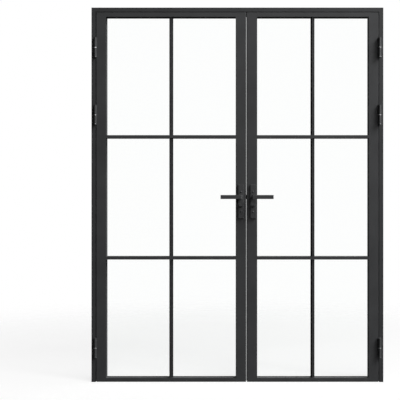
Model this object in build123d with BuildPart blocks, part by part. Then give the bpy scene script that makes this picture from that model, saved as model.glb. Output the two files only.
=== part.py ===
from build123d import *
from collections import namedtuple
import os

os.makedirs("parts", exist_ok=True)

# A pair of glazed doors of unequal width in their own metal frame, in millimetres.
# X runs along the wall, the hinges and levers stand on the -Y face, and Z is up from the floor.
# The origin is on the floor, in the middle of the frame's width and of the leaves' thickness.

# Leaves
left_leaf_width = 830
right_leaf_width = 730
leaf_height = 2040
leaf_thickness = 50
leaf_gap = 3  # round each leaf and between the two
floor_gap = 6
leaf_wall = 2
end_plate = 3
edge_break = 1.5

# Frame
frame_face = 23
frame_depth = 90
frame_wall = 2
stop_height = 12
seal_space = 3
seal_width = 7
seal_clearance = 0.3

# Stiles, rails and glazing bars
hinge_stile_width = 55
meeting_stile_width = 58
top_rail_height = 25
bottom_rail_height = 17
bar_height = 17
upright_width = 19
upright_rib = 7
upright_setback = 4  # the upright bars stand back from the through bars
shoulder_setback = 11
bar_web = 5
bead_width = 10
bead_joint = 0.2
glass_thickness = 6
gasket_thickness = 1
edge_cover = 4.5
pane_rows = 3

# Bottom sweep
sweep_thickness = 8
sweep_inset = 1
sweep_clearance = 1  # over the floor
sweep_end_gap = 2

# Hinges
bottom_hinge_rise = 184  # from the foot of the leaf to the hinge's middle
middle_hinge_drop = 568  # from the top of the leaf
top_hinge_drop = 196
barrel_radius = 8.25
barrel_height = 110
barrel_outset = 3  # from the middle of the gap, towards the frame
barrel_standoff = 0.4
ring_height = 3
pin_radius = 5
pin_height = 42  # over the ring
pin_clearance = 0.05
pin_end_gap = 2
tongue_width = 5
tongue_inset = 2  # from the barrel's ends

# Handles
lever_height = 1024
plate_height = 188
plate_width = 30
plate_thickness = 8
plate_chamfer = 1
plate_centre_drop = 25  # below the lever's axis
left_backset = 29
right_backset = 35
lever_length = 120
lever_heel = 8
lever_depth = 22
lever_thickness = 9
lever_chamfer = 1
heel_bevel = 5  # on the outer edge of the end near the axis
lever_standoff = 40
neck_radius = 8
neck_clearance = 0.3
spindle_size = 8
spindle_clearance = 0.1
spindle_socket = 14
turn_drop = 47
turn_radius = 9.5
turn_projection = 4  # of the round part, from the plate
turn_grip_length = 20
turn_grip_width = 8
turn_grip_height = 12
turn_spindle = 5
key_barrel_radius = 7
key_barrel_projection = 2
keyway_width = 2.4
keyway_height = 8
keyway_depth = 4
gear_window_width = 15  # milled through the stile, behind the plates
gear_window_margin = 10

# Lock
case_thickness = 20
case_rise = 61
case_drop = 99
case_behind = 7.5
follower_width = 12  # room for both spindles to turn
forend_thickness = 3
forend_width = 24
forend_height = 210
forend_clearance = 0.2
latch_width = 10
latch_height = 24
latch_length = 23
latch_proud = 1.6
dead_bolt_width = 10
dead_bolt_height = 20
dead_bolt_length = 22
dead_bolt_recess = 0.4
bolt_clearance = 0.2
keep_clearance = 3
pocket_depth = 12

# Shoot bolts of the right leaf
rod_radius = 5
rod_clearance = 0.1
rod_from_edge = 24.5
rod_tip_recess = 1
rod_seat = 20  # how far a rod reaches into the lock case
rod_bore = 25
head_keep_length = 44
head_keep_width = 20
head_keep_thickness = 1.5
head_keep_window = 12

# Wall fixings through the jambs
fixing_rise = 250  # of the lowest, over the floor
fixing_drop = 222  # of the highest, from the top of the frame
fixing_radius = 3.5
fixing_window = 13  # cut in the inner wall, to reach the screw
fixing_y = 5

# Places that follow from the sizes
overall_width = 2 * frame_face + 3 * leaf_gap + left_leaf_width + right_leaf_width
frame_left = -overall_width / 2
front = -leaf_thickness / 2
back = leaf_thickness / 2
frame_back = front + frame_depth
stop_front = back + seal_space
leaf_bottom = floor_gap
leaf_top = floor_gap + leaf_height
head_soffit = leaf_top + leaf_gap
frame_top = head_soffit + frame_face
glass_front = -glass_thickness / 2
glass_back = glass_thickness / 2
rebate_front = glass_front - gasket_thickness
sight_bottom = leaf_bottom + bottom_rail_height
sight_top = leaf_top - top_rail_height
pane_height = (sight_top - sight_bottom - (pane_rows - 1) * bar_height) / pane_rows
barrel_y = front - barrel_radius - barrel_standoff
case_top = lever_height + case_rise
case_bottom = lever_height - case_drop
turn_height = lever_height - turn_drop
plate_centre = lever_height - plate_centre_drop
forend_centre = (case_top + case_bottom) / 2
hinge_heights = (
    leaf_bottom + bottom_hinge_rise,
    leaf_top - middle_hinge_drop,
    leaf_top - top_hinge_drop,
)
lowest_fixing = fixing_rise
highest_fixing = frame_top - fixing_drop
fixing_heights = (lowest_fixing, (lowest_fixing + highest_fixing) / 2, highest_fixing)

Leaf = namedtuple("Leaf", "side hinge_edge inward width backset")
left = Leaf("left", frame_left + frame_face + leaf_gap, 1, left_leaf_width, left_backset)
right = Leaf("right", -frame_left - frame_face - leaf_gap, -1, right_leaf_width, right_backset)
leaves = (left, right)


def save(piece, name):
    """Label a finished piece and write it to its own file."""
    piece.part.label = name
    export_step(piece.part, f"parts/{name}.step")


def meeting_edge(leaf):
    """Place along X of the leaf's free edge."""
    return leaf.hinge_edge + leaf.inward * leaf.width


def handle_x(leaf):
    """Place along X of the lever's axis."""
    return meeting_edge(leaf) - leaf.inward * leaf.backset


def hinge_x(leaf):
    """Place along X of the hinge pins."""
    return leaf.hinge_edge - leaf.inward * (leaf_gap / 2 + barrel_outset)


def along_y(x, z, y=0):
    """A plane facing the back, centred on a point of the leaf."""
    return Plane(origin=(x, y, z), x_dir=(1, 0, 0), z_dir=(0, 1, 0))


def edge_plane(leaf, height, depth=0):
    """Plane on the leaf's free edge, looking into the leaf."""
    return Plane(
        origin=(meeting_edge(leaf) - leaf.inward * depth, 0, height),
        x_dir=(0, 1, 0),
        z_dir=(-leaf.inward, 0, 0),
    )


def between_x(first, second):
    """Middle and size of a stretch along X."""
    return (first + second) / 2, abs(second - first)


def bore(plane, radius, depth):
    """Cut a round hole from a plane, along its normal."""
    with Locations(plane):
        Cylinder(radius, depth, align=(Align.CENTER, Align.CENTER, Align.MIN), mode=Mode.SUBTRACT)


def cut_block(plane, width, height, depth):
    """Cut a rectangular pocket from a plane, along its normal."""
    with Locations(plane):
        Box(width, height, depth, align=(Align.CENTER, Align.CENTER, Align.MIN), mode=Mode.SUBTRACT)


# Frame: two jambs and a head, hollow rebated sections mitred at the corners
def frame_outline(outer, inward):
    """Outline of a frame member, from its outer face to the stop behind the leaves."""
    face = outer + inward * frame_face
    stop = face + inward * stop_height
    return [
        (outer, front),
        (face, front),
        (face, stop_front),
        (stop, stop_front),
        (stop, frame_back),
        (outer, frame_back),
    ]


for side, outer, inward in (("left", frame_left, 1), ("right", -frame_left, -1)):
    with BuildPart() as jamb:
        with BuildSketch() as jamb_section:
            with BuildLine():
                Polyline(frame_outline(outer, inward), close=True)
            make_face()
            offset(amount=-frame_wall, kind=Kind.INTERSECTION, mode=Mode.SUBTRACT)
        extrude(amount=frame_top)
        mitre = Plane(origin=(outer, 0, frame_top), z_dir=(inward, 0, 1))
        split(bisect_by=mitre, keep=Keep.BOTTOM)
        for height in fixing_heights:
            outside = Plane(origin=(outer, fixing_y, height), z_dir=(inward, 0, 0))
            bore(outside, fixing_radius, frame_wall)
            cut_block(outside.offset(frame_wall), fixing_window, fixing_window, frame_face)
    save(jamb, f"jamb_{side}")

rod_x = meeting_edge(right) + rod_from_edge

with BuildPart() as head:
    with BuildSketch(Plane.YZ.offset(frame_left)):
        with BuildLine():
            Polyline([(y, z) for z, y in frame_outline(frame_top, -1)], close=True)
        make_face()
        offset(amount=-frame_wall, kind=Kind.INTERSECTION, mode=Mode.SUBTRACT)
    extrude(amount=overall_width)
    for outer, inward in ((frame_left, 1), (-frame_left, -1)):
        mitre = Plane(origin=(outer, 0, frame_top), z_dir=(inward, 0, 1))
        split(bisect_by=mitre, keep=Keep.TOP)
    cut_block(Plane(origin=(rod_x, 0, head_soffit)), head_keep_window, head_keep_window, frame_wall)
save(head, "head")

with BuildPart() as shoot_bolt_keep:
    with BuildSketch(Plane.XY.offset(head_soffit)):
        with Locations((rod_x, 0)):
            Rectangle(head_keep_length, head_keep_width)
            Rectangle(head_keep_window, head_keep_window, mode=Mode.SUBTRACT)
    extrude(amount=-head_keep_thickness)
save(shoot_bolt_keep, "shoot_bolt_keep")

# Stop seals: rubber strips on the front of the stop, just off the leaves
seal_inset = frame_face + (stop_height + leaf_gap - seal_width) / 2
seal_thickness = seal_space - seal_clearance
seal_top = frame_top - seal_inset

with BuildPart() as stop_seals:
    with BuildSketch(Plane.XZ.offset(-stop_front)):
        with Locations((0, seal_top - seal_width / 2)):
            Rectangle(overall_width - 2 * seal_inset, seal_width)
        for inward in (1, -1):
            with Locations((inward * (frame_left + seal_inset + seal_width / 2), 0)):
                Rectangle(seal_width, seal_top - seal_width, align=(Align.CENTER, Align.MIN))
    extrude(amount=seal_thickness)
save(stop_seals, "stop_seals")


# Leaves: hollow stiles of full height, rails and through bars between them
def stile_outline(outer, inward, width):
    """Plan of a stile: a rectangle with the glazing rebate at its back glass side."""
    lip = outer + inward * width
    rebate = lip - inward * bead_width
    return [
        (outer, front),
        (lip, front),
        (lip, rebate_front),
        (rebate, rebate_front),
        (rebate, back),
        (outer, back),
    ]


def rail_outline(outer, inward, height):
    """Upright section of a rail, with the same rebate as the stiles."""
    lip = outer + inward * height
    rebate = lip - inward * bead_width
    return [
        (front, outer),
        (front, lip),
        (rebate_front, lip),
        (rebate_front, rebate),
        (back, rebate),
        (back, outer),
    ]


def stile_tube(outer, inward, width):
    """A stile with its hollow, closed at both ends by welded plates."""
    with BuildPart() as tube:
        with BuildSketch(Plane.XY.offset(leaf_bottom)) as outside:
            with BuildLine():
                Polyline(stile_outline(outer, inward, width), close=True)
            make_face()
            chamfer(outside.vertices().filter_by_position(Axis.X, outer, outer), edge_break)
        extrude(amount=leaf_height)
        with BuildSketch(Plane.XY.offset(leaf_bottom + end_plate)):
            with BuildLine():
                Polyline(stile_outline(outer, inward, width), close=True)
            make_face()
            offset(amount=-leaf_wall, kind=Kind.INTERSECTION)
        extrude(amount=leaf_height - 2 * end_plate, mode=Mode.SUBTRACT)
    return tube.part


for leaf in leaves:
    with BuildPart() as hinge_stile:
        add(stile_tube(leaf.hinge_edge, leaf.inward, hinge_stile_width))
    save(hinge_stile, f"{leaf.side}_hinge_stile")

    with BuildPart() as meeting_stile:
        add(stile_tube(meeting_edge(leaf), -leaf.inward, meeting_stile_width))
        cut_block(
            along_y(handle_x(leaf), (lever_height + turn_height) / 2, front),
            gear_window_width,
            turn_drop + 2 * gear_window_margin,
            leaf_thickness,
        )
        cut_block(
            edge_plane(leaf, forend_centre),
            forend_width + 2 * forend_clearance,
            forend_height + 2 * forend_clearance,
            leaf_wall,
        )
        if leaf is right:
            rod_line = Plane(origin=(rod_x, 0, leaf_bottom))
            bore(rod_line, rod_radius + rod_clearance, leaf_height)
    save(meeting_stile, f"{leaf.side}_meeting_stile")

    rail_middle, rail_length = between_x(
        leaf.hinge_edge + leaf.inward * hinge_stile_width,
        meeting_edge(leaf) - leaf.inward * meeting_stile_width,
    )
    rail_plane = Plane.YZ.offset(rail_middle)
    for name, outer, inward, height in (
        ("top_rail", leaf_top, -1, top_rail_height),
        ("bottom_rail", leaf_bottom, 1, bottom_rail_height),
    ):
        with BuildPart() as rail:
            with BuildSketch(rail_plane):
                with BuildLine():
                    Polyline(rail_outline(outer, inward, height), close=True)
                make_face()
                offset(amount=-leaf_wall, kind=Kind.INTERSECTION, mode=Mode.SUBTRACT)
            extrude(amount=rail_length / 2, both=True)
        save(rail, f"{leaf.side}_{name}")

    # Through bars, a flat front with a web between the panes behind it
    bar_centres = [
        sight_bottom + (row + 1) * pane_height + (row + 0.5) * bar_height
        for row in range(pane_rows - 1)
    ]
    for name, centre in zip(("lower_bar", "upper_bar"), bar_centres):
        with BuildPart() as through_bar:
            with BuildSketch(rail_plane):
                with Locations((front, centre)):
                    Rectangle(rebate_front - front, bar_height, align=(Align.MIN, Align.CENTER))
                    Rectangle(leaf_thickness, bar_web, align=(Align.MIN, Align.CENTER))
            extrude(amount=rail_length / 2, both=True)
        save(through_bar, f"{leaf.side}_{name}")

    # Upright bars, a rib on two shoulders, in lengths between the rails and through bars
    sight_lines = [
        sight_bottom + row * (pane_height + bar_height) for row in range(pane_rows)
    ]
    with BuildPart() as upright_bars:
        for row, sight in enumerate(sight_lines):
            below = bead_width if row == 0 else (bar_height - bar_web) / 2
            above = bead_width if row == pane_rows - 1 else (bar_height - bar_web) / 2
            with BuildSketch(Plane.XY.offset(sight)):
                with Locations((rail_middle, rebate_front)):
                    shoulder_depth = rebate_front - front - shoulder_setback
                    Rectangle(upright_width, shoulder_depth, align=(Align.CENTER, Align.MAX))
                    rib_depth = rebate_front - front - upright_setback
                    Rectangle(upright_rib, rib_depth, align=(Align.CENTER, Align.MAX))
            extrude(amount=pane_height)
            with BuildSketch(Plane.XY.offset(sight - below)):
                with Locations((rail_middle, rebate_front)):
                    Rectangle(bar_web, back - rebate_front, align=(Align.CENTER, Align.MIN))
            extrude(amount=pane_height + below + above)
    save(upright_bars, f"{leaf.side}_upright_bars")

    # Panes, the gaskets in front of them and the beads behind them
    pane_width = (rail_length - upright_width) / 2
    pane_centres = []
    for side in (-1, 1):
        for row, sight in enumerate(sight_lines):
            below = bead_width if row == 0 else (bar_height - bar_web) / 2
            above = bead_width if row == pane_rows - 1 else (bar_height - bar_web) / 2
            x = rail_middle + side * (upright_width + pane_width) / 2
            pane_centres.append((side, x, sight, below, above))

    with BuildPart() as panes:
        with BuildSketch(Plane.XZ.offset(-glass_back)):
            for side, x, sight, below, above in pane_centres:
                with Locations((x, sight + pane_height / 2)):
                    Rectangle(pane_width + 2 * edge_cover, pane_height + 2 * edge_cover)
        extrude(amount=glass_thickness)
    save(panes, f"{leaf.side}_panes")

    with BuildPart() as gaskets:
        with BuildSketch(Plane.XZ.offset(-glass_front)):
            for side, x, sight, below, above in pane_centres:
                with Locations((x, sight + pane_height / 2)):
                    Rectangle(pane_width + 2 * edge_cover, pane_height + 2 * edge_cover)
                    Rectangle(pane_width, pane_height, mode=Mode.SUBTRACT)
        extrude(amount=gasket_thickness)
    save(gaskets, f"{leaf.side}_glazing_gaskets")

    upright_side = (upright_width - bar_web) / 2
    with BuildPart() as beads:
        for side, x, sight, below, above in pane_centres:
            inner = x - side * (pane_width / 2 + upright_side)
            outer = x + side * (pane_width / 2 + bead_width)
            across_middle, across = between_x(inner, outer)
            with BuildSketch(Plane.XZ.offset(-back)):
                with Locations((across_middle, sight)):
                    Rectangle(across, below, align=(Align.CENTER, Align.MAX))
                with Locations((across_middle, sight + pane_height)):
                    Rectangle(across, above, align=(Align.CENTER, Align.MIN))
            extrude(amount=back - glass_back)
            for start, end in (
                (inner, x - side * pane_width / 2),
                (x + side * pane_width / 2, outer),
            ):
                middle, size = between_x(start, end)
                with BuildSketch(Plane.XZ.offset(-back)):
                    with Locations((middle, sight + pane_height / 2)):
                        Rectangle(size, pane_height - 2 * bead_joint)
                extrude(amount=back - glass_back)
    save(beads, f"{leaf.side}_glazing_beads")

    # Sweep: a rubber strip bonded under the bottom rail
    sweep_middle, sweep_length = between_x(
        leaf.hinge_edge + leaf.inward * sweep_end_gap,
        meeting_edge(leaf) - leaf.inward * sweep_end_gap,
    )
    with BuildPart() as sweep:
        with BuildSketch(Plane.XY.offset(sweep_clearance)):
            with Locations((sweep_middle, front + sweep_inset)):
                Rectangle(sweep_length, sweep_thickness, align=(Align.CENTER, Align.MIN))
        extrude(amount=leaf_bottom - sweep_clearance)
    save(sweep, f"{leaf.side}_bottom_sweep")


# Hinges: a turned knuckle on the leaf, lifted onto the pin of the frame's, with a ring between
def turned(leaf, outline):
    """A turned piece on the hinge's axis, from its half outline."""
    pin_plane = Plane(origin=(hinge_x(leaf), barrel_y, 0), x_dir=(1, 0, 0), z_dir=(0, -1, 0))
    with BuildPart() as piece:
        with BuildSketch(pin_plane):
            with BuildLine():
                Polyline(outline, close=True)
            make_face()
        revolve(axis=Axis((hinge_x(leaf), barrel_y, 0), (0, 0, 1)))
    return piece.part


def frame_knuckle(leaf, centre):
    """The lower knuckle, turned in one with the pin that stands out of it."""
    seat = centre - ring_height / 2
    tip = centre - barrel_height / 2
    pin_top = centre + ring_height / 2 + pin_height
    return turned(
        leaf,
        [
            (0, tip),
            (barrel_radius, tip),
            (barrel_radius, seat),
            (pin_radius, seat),
            (pin_radius, pin_top),
            (0, pin_top),
        ],
    )


def leaf_knuckle(leaf, centre):
    """The upper knuckle, lifted on over the pin, with a blind bore."""
    seat = centre + ring_height / 2
    tip = centre + barrel_height / 2
    bore_radius = pin_radius + pin_clearance
    bore_end = seat + pin_height + pin_end_gap
    return turned(
        leaf,
        [
            (0, tip),
            (barrel_radius, tip),
            (barrel_radius, seat),
            (bore_radius, seat),
            (bore_radius, bore_end),
            (0, bore_end),
        ],
    )


def tongue(leaf, centre, end, inner):
    """The welded foot that joins a knuckle to the face behind it."""
    middle, width = between_x(inner, inner + tongue_width)
    start = centre + end * ring_height / 2
    tip = centre + end * (barrel_height / 2 - tongue_inset)
    x = hinge_x(leaf) + leaf.inward * middle
    with BuildPart() as foot:
        with BuildSketch(Plane.XY.offset(min(start, tip))):
            with Locations((x, barrel_y)):
                Rectangle(width, front - barrel_y, align=(Align.CENTER, Align.MIN))
            with Locations((hinge_x(leaf), barrel_y)):
                Circle(barrel_radius - barrel_standoff, mode=Mode.SUBTRACT)
        extrude(amount=abs(tip - start))
    return foot.part


gap_to_leaf = barrel_outset + leaf_gap
for leaf in leaves:
    with BuildPart() as frame_halves:
        for centre in hinge_heights:
            add(frame_knuckle(leaf, centre))
            add(tongue(leaf, centre, -1, -tongue_width))
    save(frame_halves, f"{leaf.side}_hinge_frame_halves")

    with BuildPart() as leaf_halves:
        for centre in hinge_heights:
            add(leaf_knuckle(leaf, centre))
            add(tongue(leaf, centre, 1, gap_to_leaf - leaf_gap / 2))
    save(leaf_halves, f"{leaf.side}_hinge_leaf_halves")

    with BuildPart() as rings:
        for centre in hinge_heights:
            with BuildSketch(Plane.XY.offset(centre - ring_height / 2)):
                with Locations((hinge_x(leaf), barrel_y)):
                    Circle(barrel_radius)
                    Circle(pin_radius, mode=Mode.SUBTRACT)
            extrude(amount=ring_height)
    save(rings, f"{leaf.side}_hinge_rings")


# Handles: a plate on each face, a lever pair on one spindle and a turn below it
def face_plane(leaf, facing, height):
    """Plane on one face of the leaf at the handle's line, looking away from the leaf."""
    return Plane(
        origin=(handle_x(leaf), facing * leaf_thickness / 2, height),
        x_dir=(1, 0, 0),
        z_dir=(0, facing, 0),
    )


def handle_plate(leaf, facing, lower_radius):
    """A handle plate with bores for the lever's neck and for what is below it."""
    with BuildPart() as plate:
        with BuildSketch(face_plane(leaf, facing, plate_centre)):
            Rectangle(plate_width, plate_height)
        extrude(amount=plate_thickness)
        rim = plate.faces().sort_by(Axis.Y)[0 if facing < 0 else -1]
        chamfer(rim.edges(), plate_chamfer)
        neck_bore = face_plane(leaf, facing, lever_height)
        bore(neck_bore, neck_radius + neck_clearance, plate_thickness)
        if lower_radius:
            lower_bore = face_plane(leaf, facing, turn_height)
            bore(lower_bore, lower_radius + neck_clearance, plate_thickness)
    return plate


def flat_lever(leaf, facing):
    """A flat bar lever on a round neck with a square socket for the spindle."""
    axis_plane = face_plane(leaf, facing, lever_height)
    heel = leaf.inward * lever_heel
    tip = leaf.inward * (lever_heel - lever_length)
    middle, size = between_x(heel, tip)
    with BuildPart() as lever:
        with BuildSketch(axis_plane.offset(lever_standoff)):
            with Locations((middle, 0)):
                Rectangle(size, lever_depth)
        extrude(amount=lever_thickness)
        heel_face = lever.faces().sort_by(Axis.X)[-1 if leaf is left else 0]
        outer_edge = heel_face.edges().filter_by(Axis.Z).sort_by(Axis.Y)[0 if facing < 0 else -1]
        chamfer(outer_edge, heel_bevel)
        chamfer(lever.edges(), lever_chamfer)
        with BuildSketch(axis_plane):
            Circle(neck_radius)
        extrude(amount=lever_standoff)
        socket = spindle_size + 2 * spindle_clearance
        cut_block(axis_plane, socket, socket, spindle_socket)
    return lever


for leaf in leaves:
    # The right leaf is worked from the front alone, so nothing shows below its back lever
    back_radius = key_barrel_radius if leaf is left else 0
    for name, facing, lower_radius in (("front", -1, turn_radius), ("back", 1, back_radius)):
        save(handle_plate(leaf, facing, lower_radius), f"{leaf.side}_{name}_plate")
        save(flat_lever(leaf, facing), f"{leaf.side}_{name}_lever")

    with BuildPart() as spindle:
        spindle_length = leaf_thickness + 2 * (spindle_socket - spindle_clearance)
        with BuildSketch(along_y(handle_x(leaf), lever_height)):
            Rectangle(spindle_size, spindle_size)
        extrude(amount=spindle_length / 2, both=True)
    save(spindle, f"{leaf.side}_spindle")

    with BuildPart() as turn_knob:
        outside = face_plane(leaf, -1, turn_height)
        with BuildSketch(outside):
            Circle(turn_radius)
        extrude(amount=plate_thickness + turn_projection)
        with BuildSketch(outside.offset(plate_thickness + turn_projection)):
            Rectangle(turn_grip_length, turn_grip_width)
        extrude(amount=turn_grip_height)
        with BuildSketch(outside):
            Rectangle(turn_spindle, turn_spindle)
        extrude(amount=-(leaf_thickness + case_thickness) / 2)
    save(turn_knob, f"{leaf.side}_turn_knob")

with BuildPart() as key_barrel:
    inside = face_plane(left, 1, turn_height)
    with BuildSketch(inside):
        Circle(key_barrel_radius)
    extrude(amount=plate_thickness + key_barrel_projection)
    with BuildSketch(inside):
        Rectangle(turn_spindle, turn_spindle)
    extrude(amount=-(leaf_thickness - case_thickness) / 2)
    keyway = inside.offset(plate_thickness + key_barrel_projection - keyway_depth)
    cut_block(keyway, keyway_width, keyway_height, keyway_depth)
save(key_barrel, "left_key_barrel")


# Locks: a case inside each meeting stile, behind a plate in the leaf's edge
def lock_housing(leaf):
    """The lock case, with the channel in which the followers of lever and turn move."""
    depth = leaf.backset + case_behind - forend_thickness
    with BuildPart() as housing:
        with BuildSketch(edge_plane(leaf, forend_centre, forend_thickness)):
            Rectangle(case_thickness, case_top - case_bottom)
        extrude(amount=depth)
        cut_block(
            along_y(handle_x(leaf), (lever_height + turn_height) / 2, -case_thickness / 2),
            follower_width,
            turn_drop + follower_width,
            case_thickness,
        )
    return housing.part


def cut_windows(leaf, clearance, start, depth):
    """Windows for the latch and the dead bolt, cut into the leaf from its edge."""
    for height, width, tall in (
        (lever_height, latch_width, latch_height),
        (turn_height, dead_bolt_width, dead_bolt_height),
    ):
        window = edge_plane(leaf, height, start)
        cut_block(window, width + 2 * clearance, tall + 2 * clearance, depth)


with BuildPart() as lock_case:
    add(lock_housing(left))
    cut_windows(left, bolt_clearance, forend_thickness, latch_length)
save(lock_case, "left_lock_case")

with BuildPart() as gear_case:
    add(lock_housing(right))
    cut_windows(right, keep_clearance, forend_thickness, pocket_depth - forend_thickness)
    rod_channel = 2 * (rod_radius + rod_clearance)
    for height in (case_top - rod_bore, case_bottom):
        cut_block(Plane(origin=(rod_x, 0, height)), rod_channel, rod_channel, rod_bore)
save(gear_case, "right_lock_case")

for leaf, name, clearance in (
    (left, "left_forend", bolt_clearance),
    (right, "right_keep_plate", keep_clearance),
):
    with BuildPart() as forend:
        with BuildSketch(edge_plane(leaf, forend_centre)):
            Rectangle(forend_width, forend_height)
        extrude(amount=forend_thickness)
        cut_windows(leaf, clearance, 0, forend_thickness)
    save(forend, name)

with BuildPart() as latch_bolt:
    with BuildSketch(edge_plane(left, lever_height, -latch_proud)):
        Rectangle(latch_width, latch_height)
    extrude(amount=latch_length)
    nose = edges().filter_by(Axis.Z).sort_by(Axis.X)[-2:].sort_by(Axis.Y)[-1]
    chamfer(nose, latch_proud / 2)
save(latch_bolt, "latch_bolt")

with BuildPart() as dead_bolt:
    with BuildSketch(edge_plane(left, turn_height, dead_bolt_recess)):
        Rectangle(dead_bolt_width, dead_bolt_height)
    extrude(amount=dead_bolt_length)
save(dead_bolt, "dead_bolt")

# Shoot bolts: a rod up and a rod down from the right leaf's lock case
for name, start, end in (
    ("top_shoot_bolt", case_top - rod_seat, leaf_top - rod_tip_recess),
    ("bottom_shoot_bolt", leaf_bottom + rod_tip_recess, case_bottom + rod_seat),
):
    with BuildPart() as rod:
        with BuildSketch(Plane.XY.offset(start)):
            with Locations((rod_x, 0)):
                Circle(rod_radius)
        extrude(amount=end - start)
    save(rod, name)
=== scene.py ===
from math import cos, pi, radians, sin

import bpy
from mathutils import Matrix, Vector


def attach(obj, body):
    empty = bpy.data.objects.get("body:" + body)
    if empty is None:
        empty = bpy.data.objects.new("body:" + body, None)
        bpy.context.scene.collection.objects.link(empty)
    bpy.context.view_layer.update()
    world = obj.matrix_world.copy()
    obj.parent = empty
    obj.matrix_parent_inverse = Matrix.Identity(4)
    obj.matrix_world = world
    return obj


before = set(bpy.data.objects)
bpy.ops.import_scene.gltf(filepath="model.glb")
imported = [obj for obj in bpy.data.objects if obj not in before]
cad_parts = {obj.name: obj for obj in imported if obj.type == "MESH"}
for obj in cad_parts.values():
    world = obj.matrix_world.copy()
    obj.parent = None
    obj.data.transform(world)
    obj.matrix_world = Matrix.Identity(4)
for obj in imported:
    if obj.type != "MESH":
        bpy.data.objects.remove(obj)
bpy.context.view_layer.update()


# Frame
# Two jambs and a head, folded from sheet steel, mitred and welded at the corners.
# They are screwed to the wall and powder coated in a satin charcoal.
def powder_coat(name, shade, gloss_roughness):
    """A satin powder coat: a faint orange peel, with shade and gloss that vary a little."""
    coat = bpy.data.materials.new(name)
    coat.use_nodes = True
    nodes, links = coat.node_tree.nodes, coat.node_tree.links
    shader = nodes["Principled BSDF"]
    shader.inputs["Specular IOR Level"].default_value = 0.2
    place = nodes.new("ShaderNodeTexCoord")

    cloud = nodes.new("ShaderNodeTexNoise")
    cloud.inputs["Scale"].default_value = 9
    cloud.inputs["Detail"].default_value = 4
    links.new(place.outputs["Object"], cloud.inputs["Vector"])
    tone = nodes.new("ShaderNodeValToRGB")
    tone.color_ramp.elements[0].position = 0.3
    tone.color_ramp.elements[0].color = [0.88 * part for part in shade] + [1]
    tone.color_ramp.elements[1].position = 0.7
    tone.color_ramp.elements[1].color = [1.12 * part for part in shade] + [1]
    links.new(cloud.outputs["Fac"], tone.inputs["Fac"])
    links.new(tone.outputs["Color"], shader.inputs["Base Color"])

    gloss = nodes.new("ShaderNodeMapRange")
    gloss.inputs["To Min"].default_value = gloss_roughness - 0.04
    gloss.inputs["To Max"].default_value = gloss_roughness + 0.04
    links.new(cloud.outputs["Fac"], gloss.inputs["Value"])
    links.new(gloss.outputs["Result"], shader.inputs["Roughness"])

    peel = nodes.new("ShaderNodeTexNoise")
    peel.inputs["Scale"].default_value = 900
    peel.inputs["Detail"].default_value = 1
    links.new(place.outputs["Object"], peel.inputs["Vector"])
    relief = nodes.new("ShaderNodeBump")
    relief.inputs["Strength"].default_value = 0.12
    relief.inputs["Distance"].default_value = 0.0002
    links.new(peel.outputs["Fac"], relief.inputs["Height"])
    links.new(relief.outputs["Normal"], shader.inputs["Normal"])
    return coat


def finish(material, *node_names):
    """Give CAD nodes a material."""
    for node_name in node_names:
        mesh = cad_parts[node_name].data
        mesh.materials.clear()
        mesh.materials.append(material)


frame_coat = powder_coat("frame coat", (0.0178, 0.0183, 0.0192), 0.64)
finish(frame_coat, "jamb_left", "jamb_right", "head")


# Leaves
# Welded steel tube stiles and rails, with through bars and upright bars between the panes.
# They have the same satin charcoal coat as the frame. On the shoulders of the upright bars,
# beside the rib, its colour is darkened by painted shade.
leaf_shade = (0.0225, 0.023, 0.024)
leaf_roughness = 0.62
half_thickness = 0.025
shoulder_begins, shoulder_ends = (0.085, 0.095), (0.45, 0.54)
# The second colour is painted shade for the shoulders: a fifth of the coat's colour.
plain, shoulder_painted_shade = (1, 1, 1, 1), (0.2, 0.2, 0.2, 1)
leaf_coat = powder_coat("leaf coat", leaf_shade, leaf_roughness)
bar_coat_with_painted_shade = powder_coat("upright bar coat with painted shade", leaf_shade, leaf_roughness)
nodes, links = bar_coat_with_painted_shade.node_tree.nodes, bar_coat_with_painted_shade.node_tree.links
place = nodes.new("ShaderNodeTexCoord")
along = nodes.new("ShaderNodeSeparateXYZ")
depth = nodes.new("ShaderNodeMapRange")
depth.inputs["From Min"].default_value = -half_thickness
depth.inputs["From Max"].default_value = half_thickness
# Painted shade: this ramp darkens the base colour over the recessed shoulders, chosen by depth
# through the leaf.
shoulder_shade_ramp = nodes.new("ShaderNodeValToRGB")
shoulder_shade_ramp.color_ramp.elements[0].position = shoulder_begins[0]
shoulder_shade_ramp.color_ramp.elements[1].position = shoulder_ends[1]
for position in (shoulder_begins[1], shoulder_ends[0]):
    shoulder_shade_ramp.color_ramp.elements.new(position).color = shoulder_painted_shade
shoulder_shade_ramp.color_ramp.elements[0].color = plain
shoulder_shade_ramp.color_ramp.elements[-1].color = plain
shaded = nodes.new("ShaderNodeVectorMath")
shaded.operation = "MULTIPLY"
coated = nodes["Principled BSDF"].inputs["Base Color"]
links.new(place.outputs["Object"], along.inputs["Vector"])
links.new(along.outputs["Y"], depth.inputs["Value"])
links.new(depth.outputs["Result"], shoulder_shade_ramp.inputs["Fac"])
links.new(coated.links[0].from_socket, shaded.inputs[0])
links.new(shoulder_shade_ramp.outputs["Color"], shaded.inputs[1])
links.new(shaded.outputs["Vector"], coated)
for side in ("left", "right"):
    finish(leaf_coat, f"{side}_hinge_stile", f"{side}_meeting_stile")
    finish(leaf_coat, f"{side}_top_rail", f"{side}_bottom_rail")
    finish(leaf_coat, f"{side}_lower_bar", f"{side}_upper_bar", f"{side}_glazing_beads")
    finish(bar_coat_with_painted_shade, f"{side}_upright_bars")


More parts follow.
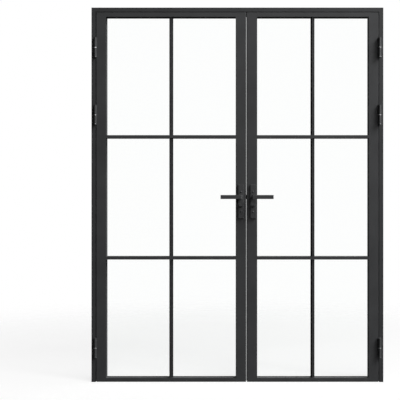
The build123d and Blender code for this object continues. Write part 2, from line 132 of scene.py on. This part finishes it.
# Rubber
# Extruded black rubber: the strips on the stop, the gaskets in front of the glass,
# and the sweeps that are bonded under the bottom rails.
def matte_rubber(name, shade):
    """Dull black rubber with a fine grain."""
    rubber = bpy.data.materials.new(name)
    rubber.use_nodes = True
    nodes, links = rubber.node_tree.nodes, rubber.node_tree.links
    shader = nodes["Principled BSDF"]
    place = nodes.new("ShaderNodeTexCoord")
    grain = nodes.new("ShaderNodeTexNoise")
    grain.inputs["Scale"].default_value = 400
    grain.inputs["Detail"].default_value = 3
    links.new(place.outputs["Object"], grain.inputs["Vector"])
    tone = nodes.new("ShaderNodeValToRGB")
    tone.color_ramp.elements[0].color = [0.7 * part for part in shade] + [1]
    tone.color_ramp.elements[1].color = [1.3 * part for part in shade] + [1]
    links.new(grain.outputs["Fac"], tone.inputs["Fac"])
    links.new(tone.outputs["Color"], shader.inputs["Base Color"])
    rough = nodes.new("ShaderNodeMapRange")
    rough.inputs["To Min"].default_value = 0.7
    rough.inputs["To Max"].default_value = 0.9
    links.new(grain.outputs["Fac"], rough.inputs["Value"])
    links.new(rough.outputs["Result"], shader.inputs["Roughness"])
    return rubber


seal_rubber = matte_rubber("seal rubber", (0.016, 0.016, 0.016))
finish(seal_rubber, "stop_seals")
for side in ("left", "right"):
    finish(seal_rubber, f"{side}_glazing_gaskets", f"{side}_bottom_sweep")


# Strip between the leaves
# A soft rubber strip, bonded along the right leaf's free edge near its front.
# It stops the draught and half closes the slit, and the left leaf passes it freely.
strip_edge = 0.0515
strip_front, strip_back = -0.0205, -0.0155
strip_bottom, strip_top = 0.008, 2.044
strip_mesh = bpy.data.meshes.new("meeting strip")
strip_section = [
    (strip_edge, strip_front),
    (strip_edge - 0.0012, strip_front),
    (strip_edge - 0.0016, -0.0195),
    (strip_edge - 0.0016, -0.0165),
    (strip_edge - 0.0012, strip_back),
    (strip_edge, strip_back),
]
strip_corners = len(strip_section)
strip_edges = [(corner, (corner + 1) % strip_corners) for corner in range(strip_corners)]
strip_mesh.from_pydata(
    [(x, y, z) for z in (strip_bottom, strip_top) for x, y in strip_section],
    [],
    [(near, far, far + strip_corners, near + strip_corners) for near, far in strip_edges]
    + [tuple(reversed(range(strip_corners))), tuple(range(strip_corners, 2 * strip_corners))],
)
strip = bpy.data.objects.new("meeting_strip", strip_mesh)
bpy.context.scene.collection.objects.link(strip)
strip_mesh.materials.append(seal_rubber)
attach(strip, "right_leaf")


# Panes
# Clear float glass, 6 mm thick, that stands on the gaskets and is held by the beads.
# It shows what is behind it and mirrors a little of what is in front.
def clear_glass(name):
    """Clear glass that doesn't bend what is seen through it, with a faint unevenness."""
    glass = bpy.data.materials.new(name)
    glass.use_nodes = True
    nodes, links = glass.node_tree.nodes, glass.node_tree.links
    nodes.remove(nodes["Principled BSDF"])
    through = nodes.new("ShaderNodeBsdfTransparent")
    through.inputs["Color"].default_value = (0.993, 0.997, 0.995, 1)
    mirror = nodes.new("ShaderNodeBsdfGlossy")
    edge = nodes.new("ShaderNodeFresnel")
    edge.inputs["IOR"].default_value = 1.3
    share = nodes.new("ShaderNodeMapRange")
    share.inputs["To Max"].default_value = 0.22
    both = nodes.new("ShaderNodeMixShader")
    links.new(edge.outputs["Fac"], share.inputs["Value"])
    links.new(share.outputs["Result"], both.inputs["Fac"])
    links.new(through.outputs["BSDF"], both.inputs[1])
    links.new(mirror.outputs["BSDF"], both.inputs[2])
    links.new(both.outputs["Shader"], nodes["Material Output"].inputs["Surface"])
    place = nodes.new("ShaderNodeTexCoord")
    wave = nodes.new("ShaderNodeTexNoise")
    wave.inputs["Scale"].default_value = 3
    links.new(place.outputs["Object"], wave.inputs["Vector"])
    rough = nodes.new("ShaderNodeMapRange")
    rough.inputs["To Min"].default_value = 0.01
    rough.inputs["To Max"].default_value = 0.05
    links.new(wave.outputs["Fac"], rough.inputs["Value"])
    links.new(rough.outputs["Result"], mirror.inputs["Roughness"])
    return glass


pane_glass = clear_glass("pane glass")
finish(pane_glass, "left_panes", "right_panes")


# Hinges
# Turned steel knuckles, welded to the frame and to the leaves by short tongues and coated
# with them, with a bright ring between the two that they turn on.
hinge_coat = powder_coat("hinge coat", (0.0155, 0.016, 0.0168), 0.7)


def turned_steel(name, shade, gloss_roughness):
    """Bright machined steel with fine turning marks round the Z axis."""
    steel = bpy.data.materials.new(name)
    steel.use_nodes = True
    nodes, links = steel.node_tree.nodes, steel.node_tree.links
    shader = nodes["Principled BSDF"]
    shader.inputs["Metallic"].default_value = 1
    place = nodes.new("ShaderNodeTexCoord")
    marks = nodes.new("ShaderNodeTexNoise")
    marks.inputs["Scale"].default_value = 60
    marks.inputs["Detail"].default_value = 3
    stretch = nodes.new("ShaderNodeMapping")
    stretch.inputs["Scale"].default_value = (1, 1, 30)
    links.new(place.outputs["Object"], stretch.inputs["Vector"])
    links.new(stretch.outputs["Vector"], marks.inputs["Vector"])
    tone = nodes.new("ShaderNodeValToRGB")
    tone.color_ramp.elements[0].color = [0.85 * part for part in shade] + [1]
    tone.color_ramp.elements[1].color = [1.15 * part for part in shade] + [1]
    links.new(marks.outputs["Fac"], tone.inputs["Fac"])
    links.new(tone.outputs["Color"], shader.inputs["Base Color"])
    rough = nodes.new("ShaderNodeMapRange")
    rough.inputs["To Min"].default_value = gloss_roughness - 0.06
    rough.inputs["To Max"].default_value = gloss_roughness + 0.06
    links.new(marks.outputs["Fac"], rough.inputs["Value"])
    links.new(rough.outputs["Result"], shader.inputs["Roughness"])
    return steel


ring_steel = turned_steel("ring steel", (0.36, 0.36, 0.37), 0.4)
for side in ("left", "right"):
    finish(hinge_coat, f"{side}_hinge_frame_halves", f"{side}_hinge_leaf_halves")
    finish(ring_steel, f"{side}_hinge_rings")


# Hinge bands
# A narrow turned steel band round the foot of each hinge, pressed on over its end cap.
# It is duller than the ring between the two halves and stays with the frame.
sharp_from = radians(35)


def spun(name, outline, closed, centre, direction, steps, socket_rows=0):
    """A shape turned round a line, from radius and height pairs.

    The first socket_rows pairs follow a hexagon, as in the socket of a screw.
    """
    aim = Vector((0, 0, 1)).rotation_difference(Vector(direction))
    points = []
    for step in range(steps):
        angle = 2 * pi * step / steps
        flat = cos(pi / 6) / cos(angle % (pi / 3) - pi / 6)
        for row, (radius, height) in enumerate(outline):
            reach = radius * flat if row < socket_rows else radius
            point = Vector((reach * cos(angle), reach * sin(angle), height))
            points.append(aim @ point + Vector(centre))
    rows = len(outline)
    faces = []
    for step in range(steps):
        here, there = step * rows, (step + 1) % steps * rows
        for row in range(rows if closed else rows - 1):
            after = (row + 1) % rows
            faces.append((here + row, there + row, there + after, here + after))
    if not closed:
        faces.append(tuple(reversed(range(0, steps * rows, rows))))
        faces.append(tuple(range(rows - 1, steps * rows, rows)))
    mesh = bpy.data.meshes.new(name)
    mesh.from_pydata(points, [], faces)
    mesh.shade_smooth()
    mesh.set_sharp_from_angle(angle=sharp_from)
    piece = bpy.data.objects.new(name, mesh)
    bpy.context.scene.collection.objects.link(piece)
    return piece


band_outline = [
    (0.0080, -0.0010),
    (0.00835, -0.0010),
    (0.0085, -0.0007),
    (0.0085, 0.0007),
    (0.00835, 0.0010),
    (0.0080, 0.0010),
]
band_steel = turned_steel("band steel", (0.13, 0.13, 0.133), 0.45)
band_steps = 40
barrel_y = -0.03365
upwards = (0, 0, 1)
for side, barrel_x in (("left", -0.786), ("right", 0.786)):
    for spot, height in (("low", 0.140), ("middle", 1.428), ("high", 1.800)):
        name = f"{side}_{spot}_hinge_band"
        centre = (barrel_x, barrel_y, height)
        band = spun(name, band_outline, True, centre, upwards, band_steps)
        band.data.materials.append(band_steel)
        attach(band, "frame")


# Handles
# Flat plates and levers, die cast and coated in the same charcoal but smoother.
# Each pair of levers shares a square steel spindle, and a turn stands below the front one.
handle_coat = powder_coat("handle coat", (0.027, 0.0275, 0.0285), 0.5)
spindle_steel = turned_steel("spindle steel", (0.5, 0.5, 0.5), 0.35)
for side in ("left", "right"):
    finish(handle_coat, f"{side}_front_plate", f"{side}_back_plate")
    finish(handle_coat, f"{side}_front_lever", f"{side}_back_lever", f"{side}_turn_knob")
    finish(spindle_steel, f"{side}_spindle")
finish(handle_coat, "left_key_barrel")


# Handle screws
# Raised heads with a hexagon socket, blackened, above the lever and at the turn's foot.
# They go through the leaf and draw the front and back plates together.
screw_steel = turned_steel("screw steel", (0.045, 0.045, 0.047), 0.5)
screw_outline = [
    (0.0016, 0.0010),
    (0.0016, 0.0024),
    (0.0019, 0.0026),
    (0.0030, 0.0023),
    (0.0039, 0.0015),
    (0.0044, 0.0005),
    (0.0044, -0.0004),
]
screw_steps = 36
plate_face = 0.033
for side, plate_x in (("left", 0.0195), ("right", 0.0865)):
    for face, facing in (("front", -1), ("back", 1)):
        for place, height in (("upper", 1.053), ("lower", 0.943)):
            name = f"{side}_{face}_{place}_plate_screw"
            seat = (plate_x, facing * plate_face, height)
            outwards = (0, facing, 0)
            screw = spun(name, screw_outline, False, seat, outwards, screw_steps, socket_rows=2)
            screw.data.materials.append(screw_steel)
            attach(screw, f"{side}_leaf")


# Locks
# A zinc plated case in each meeting stile, with steel bolts and a steel plate in the edge.
# The right leaf's case drives two round rods that bolt it to the head and the floor.
case_zinc = turned_steel("case zinc", (0.42, 0.42, 0.43), 0.45)
bolt_steel = turned_steel("bolt steel", (0.5, 0.5, 0.5), 0.32)
finish(case_zinc, "left_lock_case", "right_lock_case")
finish(bolt_steel, "left_forend", "right_keep_plate", "shoot_bolt_keep")
finish(bolt_steel, "latch_bolt", "dead_bolt", "top_shoot_bolt", "bottom_shoot_bolt")


# Floor
# A white studio floor under the doors, matt and evenly lit.
# It fades out into the white background, so no horizon shows.
floor_radius = 6
floor_lift = 0.785
floor_mesh = bpy.data.meshes.new("floor")
floor_mesh.from_pydata(
    [
        (-floor_radius, -floor_radius, 0),
        (floor_radius, -floor_radius, 0),
        (floor_radius, floor_radius, 0),
        (-floor_radius, floor_radius, 0),
    ],
    [],
    [(0, 1, 2, 3)],
)
floor = bpy.data.objects.new("floor", floor_mesh)
bpy.context.scene.collection.objects.link(floor)
floor_paint = bpy.data.materials.new("floor paint")
floor_paint.use_nodes = True
nodes, links = floor_paint.node_tree.nodes, floor_paint.node_tree.links
nodes.remove(nodes["Principled BSDF"])
place = nodes.new("ShaderNodeTexCoord")
spread = nodes.new("ShaderNodeMapping")
spread.inputs["Scale"].default_value = (1 / floor_radius, 1 / floor_radius, 1)
away = nodes.new("ShaderNodeTexGradient")
away.gradient_type = "SPHERICAL"
fade = nodes.new("ShaderNodeMapRange")
fade.interpolation_type = "SMOOTHSTEP"
fade.inputs["From Min"].default_value = 0.35
fade.inputs["From Max"].default_value = 0.75
matt = nodes.new("ShaderNodeBsdfDiffuse")
matt.inputs["Color"].default_value = (0.6, 0.6, 0.6, 1)
path = nodes.new("ShaderNodeLightPath")
glow = nodes.new("ShaderNodeEmission")
lift = nodes.new("ShaderNodeMath")
lift.operation = "MULTIPLY"
lift.inputs[1].default_value = floor_lift
surface = nodes.new("ShaderNodeAddShader")
links.new(path.outputs["Is Camera Ray"], lift.inputs[0])
links.new(lift.outputs["Value"], glow.inputs["Strength"])
links.new(matt.outputs["BSDF"], surface.inputs[0])
links.new(glow.outputs["Emission"], surface.inputs[1])
gone = nodes.new("ShaderNodeBsdfTransparent")
ground = nodes.new("ShaderNodeMixShader")
links.new(place.outputs["Object"], spread.inputs["Vector"])
links.new(spread.outputs["Vector"], away.inputs["Vector"])
links.new(away.outputs["Fac"], fade.inputs["Value"])
links.new(fade.outputs["Result"], ground.inputs["Fac"])
links.new(gone.outputs["BSDF"], ground.inputs[1])
links.new(surface.outputs["Shader"], ground.inputs[2])
links.new(ground.outputs["Shader"], nodes["Material Output"].inputs["Surface"])
floor_mesh.materials.append(floor_paint)


# Light
# A white background that lights the doors little, a key high at the right that grazes
# them, a wide soft box high in front, a low one at the right, and one high behind.
# The key and the one behind are flagged off the floor, so the shadow there stays faint.
background = bpy.data.worlds.new("studio")
bpy.context.scene.world = background
background.use_nodes = True
nodes, links = background.node_tree.nodes, background.node_tree.links
dim = nodes["Background"]
dim.inputs["Color"].default_value = (1, 1, 1, 1)
dim.inputs["Strength"].default_value = 0.05
bright = nodes.new("ShaderNodeBackground")
bright.inputs["Color"].default_value = (1, 1, 1, 1)
bright.inputs["Strength"].default_value = 1
path = nodes.new("ShaderNodeLightPath")
seen = nodes.new("ShaderNodeMixShader")
links.new(path.outputs["Is Camera Ray"], seen.inputs["Fac"])
links.new(dim.outputs["Background"], seen.inputs[1])
links.new(bright.outputs["Background"], seen.inputs[2])
links.new(seen.outputs["Shader"], nodes["World Output"].inputs["Surface"])


def soft_light(name, place, aim, width, height, watts):
    """A soft box that looks at a point, with its long side level."""
    lamp = bpy.data.lights.new(name, "AREA")
    lamp.shape = "RECTANGLE"
    lamp.size = width
    lamp.size_y = height
    lamp.energy = watts
    box = bpy.data.objects.new(name, lamp)
    box.location = place
    box.rotation_euler = (Vector(aim) - Vector(place)).to_track_quat("-Z", "Y").to_euler()
    bpy.context.scene.collection.objects.link(box)
    return box


middle = (0, 0, 1)
key = soft_light("key", (7.5, -0.9, 9.5), middle, 7, 7, 7400)
flagged = bpy.data.collections.new("flagged from key and back")
key.light_linking.receiver_collection = flagged
flagged.objects.link(floor)
flagged.collection_objects[0].light_linking.link_state = "EXCLUDE"
soft_light("front", (5.5, -9.8, 7.2), middle, 17, 1.2, 1000)
soft_light("side", (10, -7, 1.4), middle, 2, 2, 400)
back = soft_light("back", (2, 8, 7), middle, 3, 1, 450)
back.light_linking.receiver_collection = flagged


# Camera
# Level and square on, at the height of the levers.
# Small shifts set the doors right of the middle and a little above it, as in the photo.
leaf_front = -0.025
eye_distance = 4.675
eye_height = 1.035
camera = bpy.data.cameras.new("camera")
camera.lens = 76.04
camera.sensor_width = 36
camera.shift_x = -0.0935
camera.shift_y = -0.0125
eye = bpy.data.objects.new("camera", camera)
eye.location = (0, leaf_front - eye_distance, eye_height)
eye.rotation_euler = (radians(90), 0, 0)
bpy.context.scene.collection.objects.link(eye)
bpy.context.scene.camera = eye
bpy.context.scene.view_settings.view_transform = "Standard"
